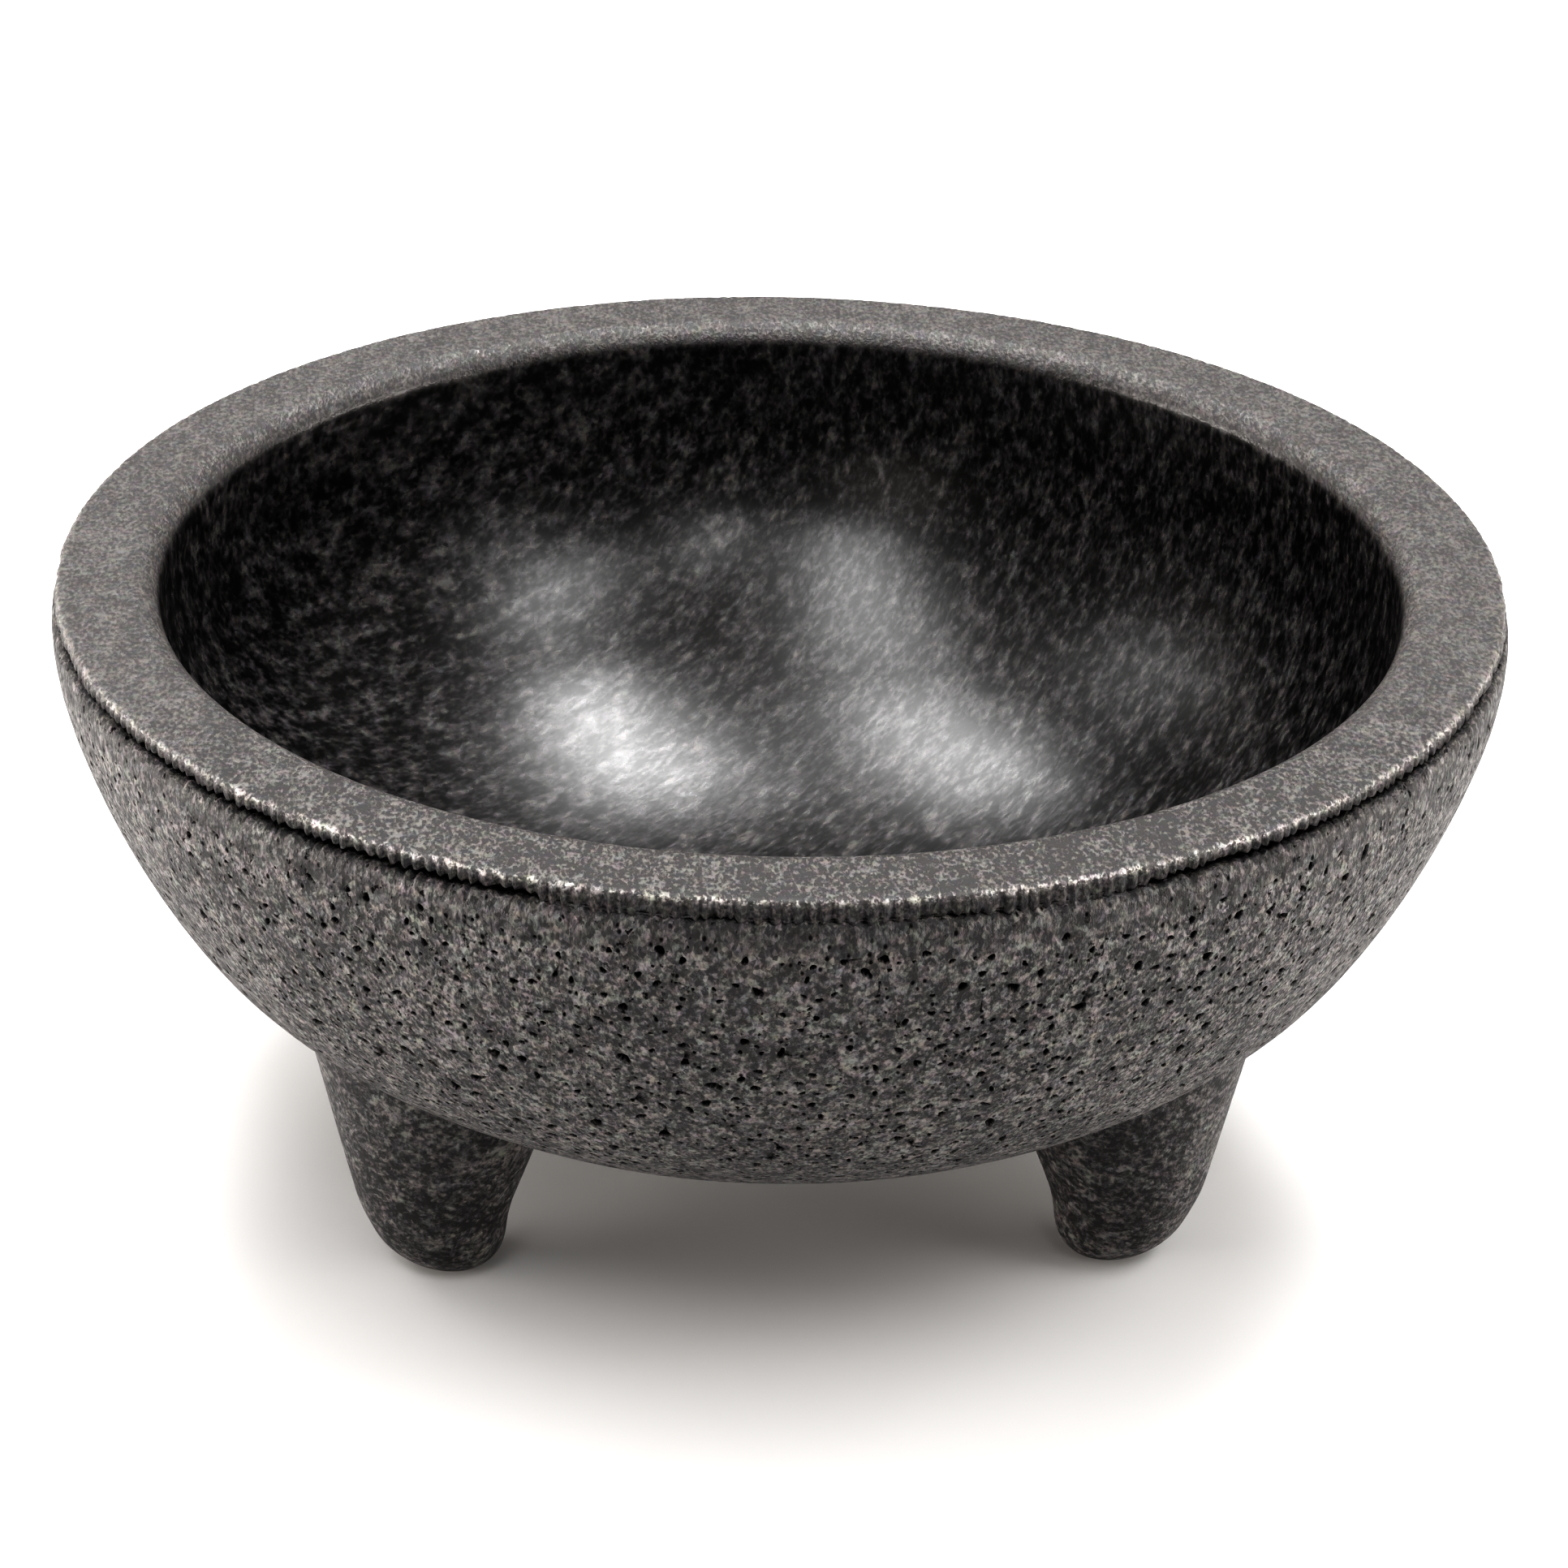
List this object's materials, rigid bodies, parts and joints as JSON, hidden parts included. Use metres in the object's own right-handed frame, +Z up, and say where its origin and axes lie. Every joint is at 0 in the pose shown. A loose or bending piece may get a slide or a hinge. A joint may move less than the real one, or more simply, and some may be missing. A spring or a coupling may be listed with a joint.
{
  "type": "molcajete serving bowl",
  "caption": "Round serving bowl on tapered feet, with a broad flat rim over a fine groove and a pitted, stone-look moulded outside; for salsa, dips and condiments.",
  "frame": {"origin": "on the bowl's axis, at the surface that the feet stand on", "axes": "+Z up along the bowl's axis; the two front legs are on the -Y side, left at -X and right at +X, and the third leg is on +Y"},
  "size_m": [0.162, 0.162, 0.0785],
  "materials": {
    "liner": "charcoal granite-look moulded thermoplastic, semi-matt, with fine light and dark flow streaks",
    "shell": "charcoal granite-look moulded thermoplastic, matt, pitted all over like basalt",
    "leg": "charcoal granite-look moulded thermoplastic, darker and smoother than the shell"
  },
  "bodies": {
    "root": {"bowl_liner": "liner", "outer_shell": "shell", "leg_front_left": "leg", "leg_front_right": "leg", "leg_rear": "leg"}
  },
  "joints": []
}
